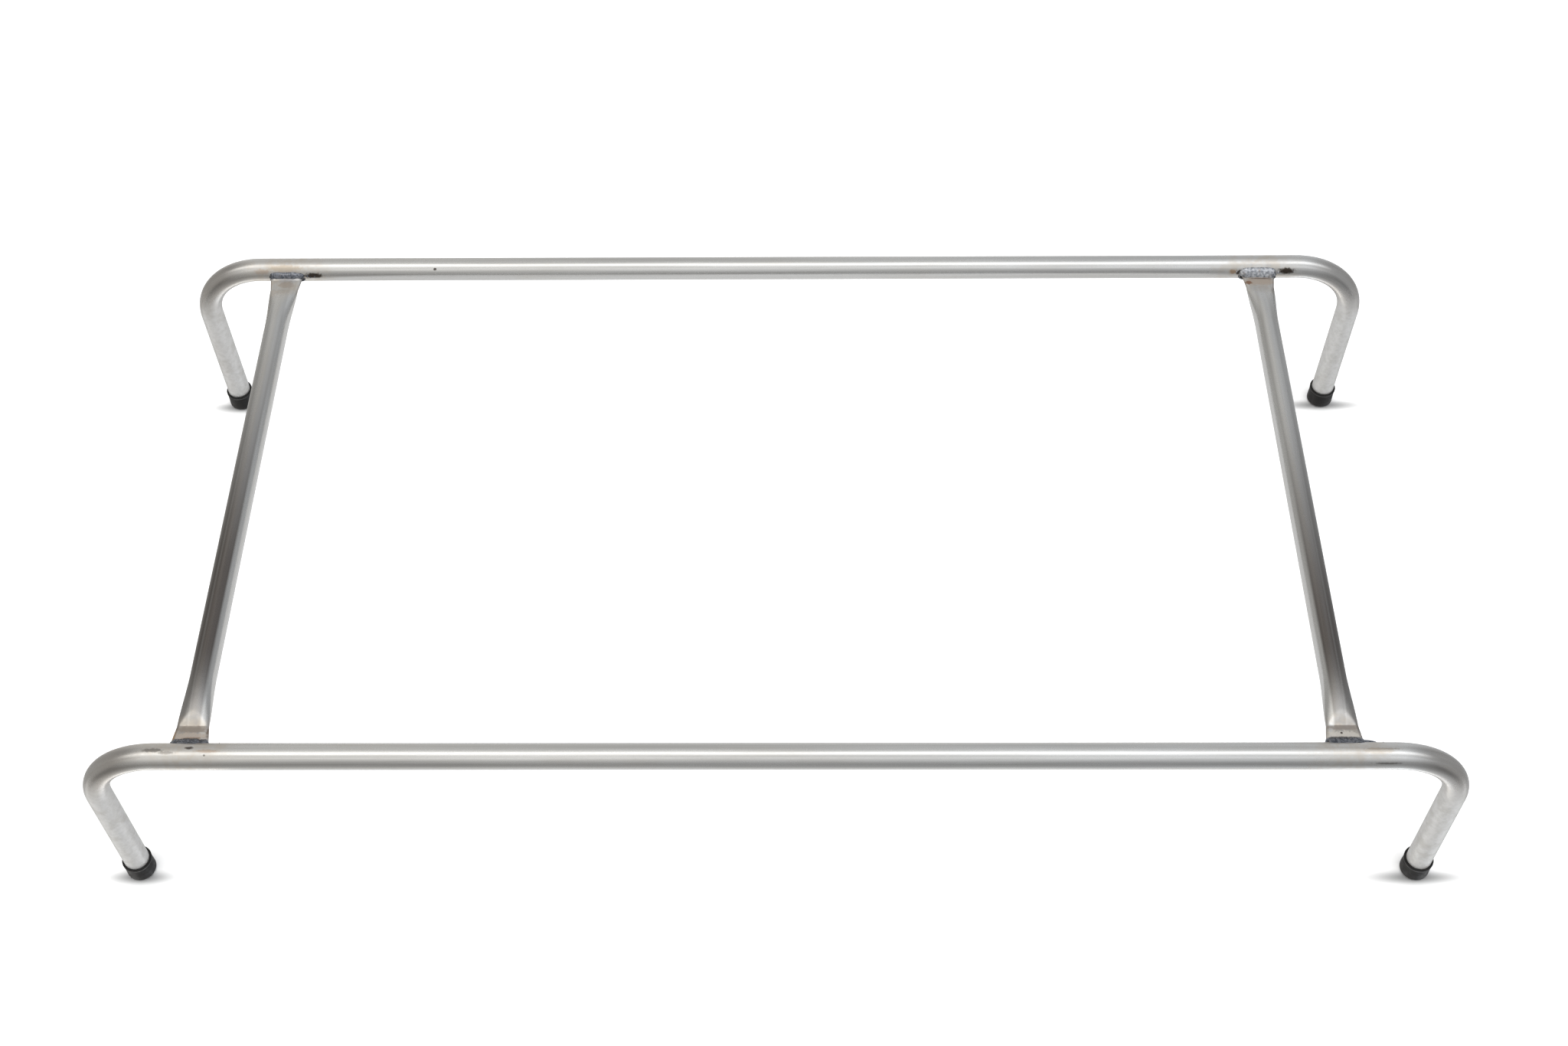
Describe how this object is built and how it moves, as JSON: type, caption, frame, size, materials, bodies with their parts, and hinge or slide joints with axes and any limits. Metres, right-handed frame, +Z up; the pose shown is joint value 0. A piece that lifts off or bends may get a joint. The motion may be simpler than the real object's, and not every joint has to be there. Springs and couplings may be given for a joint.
{
  "type": "tyre storage rack",
  "caption": "Low rectangular rack of round steel tube: long rails bent down into legs, cross tubes with flattened welded ends, and push-on foot caps. Tyres stand side by side between the rails.",
  "frame": {"origin": "centre of the rack's footprint, on the floor the four foot caps stand on", "axes": "+X along the two long rails, towards the right end; +Y from the front rail to the rear rail; +Z up"},
  "size_m": [1.166, 0.574, 0.211],
  "materials": {
    "tube_steel": "bare drawn tube, satin bright with fine lengthwise streaks and heat tint by the welds",
    "weld_metal": "rippled dark blue-grey weld bead with soot beside it",
    "cap_rubber": "matte black moulded rubber"
  },
  "bodies": {
    "root": {"front_rail": "tube_steel", "rear_rail": "tube_steel", "left_cross_tube": "tube_steel", "right_cross_tube": "tube_steel", "front_left_foot_cap": "cap_rubber", "front_right_foot_cap": "cap_rubber", "rear_left_foot_cap": "cap_rubber", "rear_right_foot_cap": "cap_rubber", "front_left_top_weld": "weld_metal", "front_left_bottom_weld": "weld_metal", "front_right_top_weld": "weld_metal", "front_right_bottom_weld": "weld_metal", "rear_left_top_weld": "weld_metal", "rear_left_bottom_weld": "weld_metal", "rear_right_top_weld": "weld_metal", "rear_right_bottom_weld": "weld_metal"}
  },
  "joints": []
}
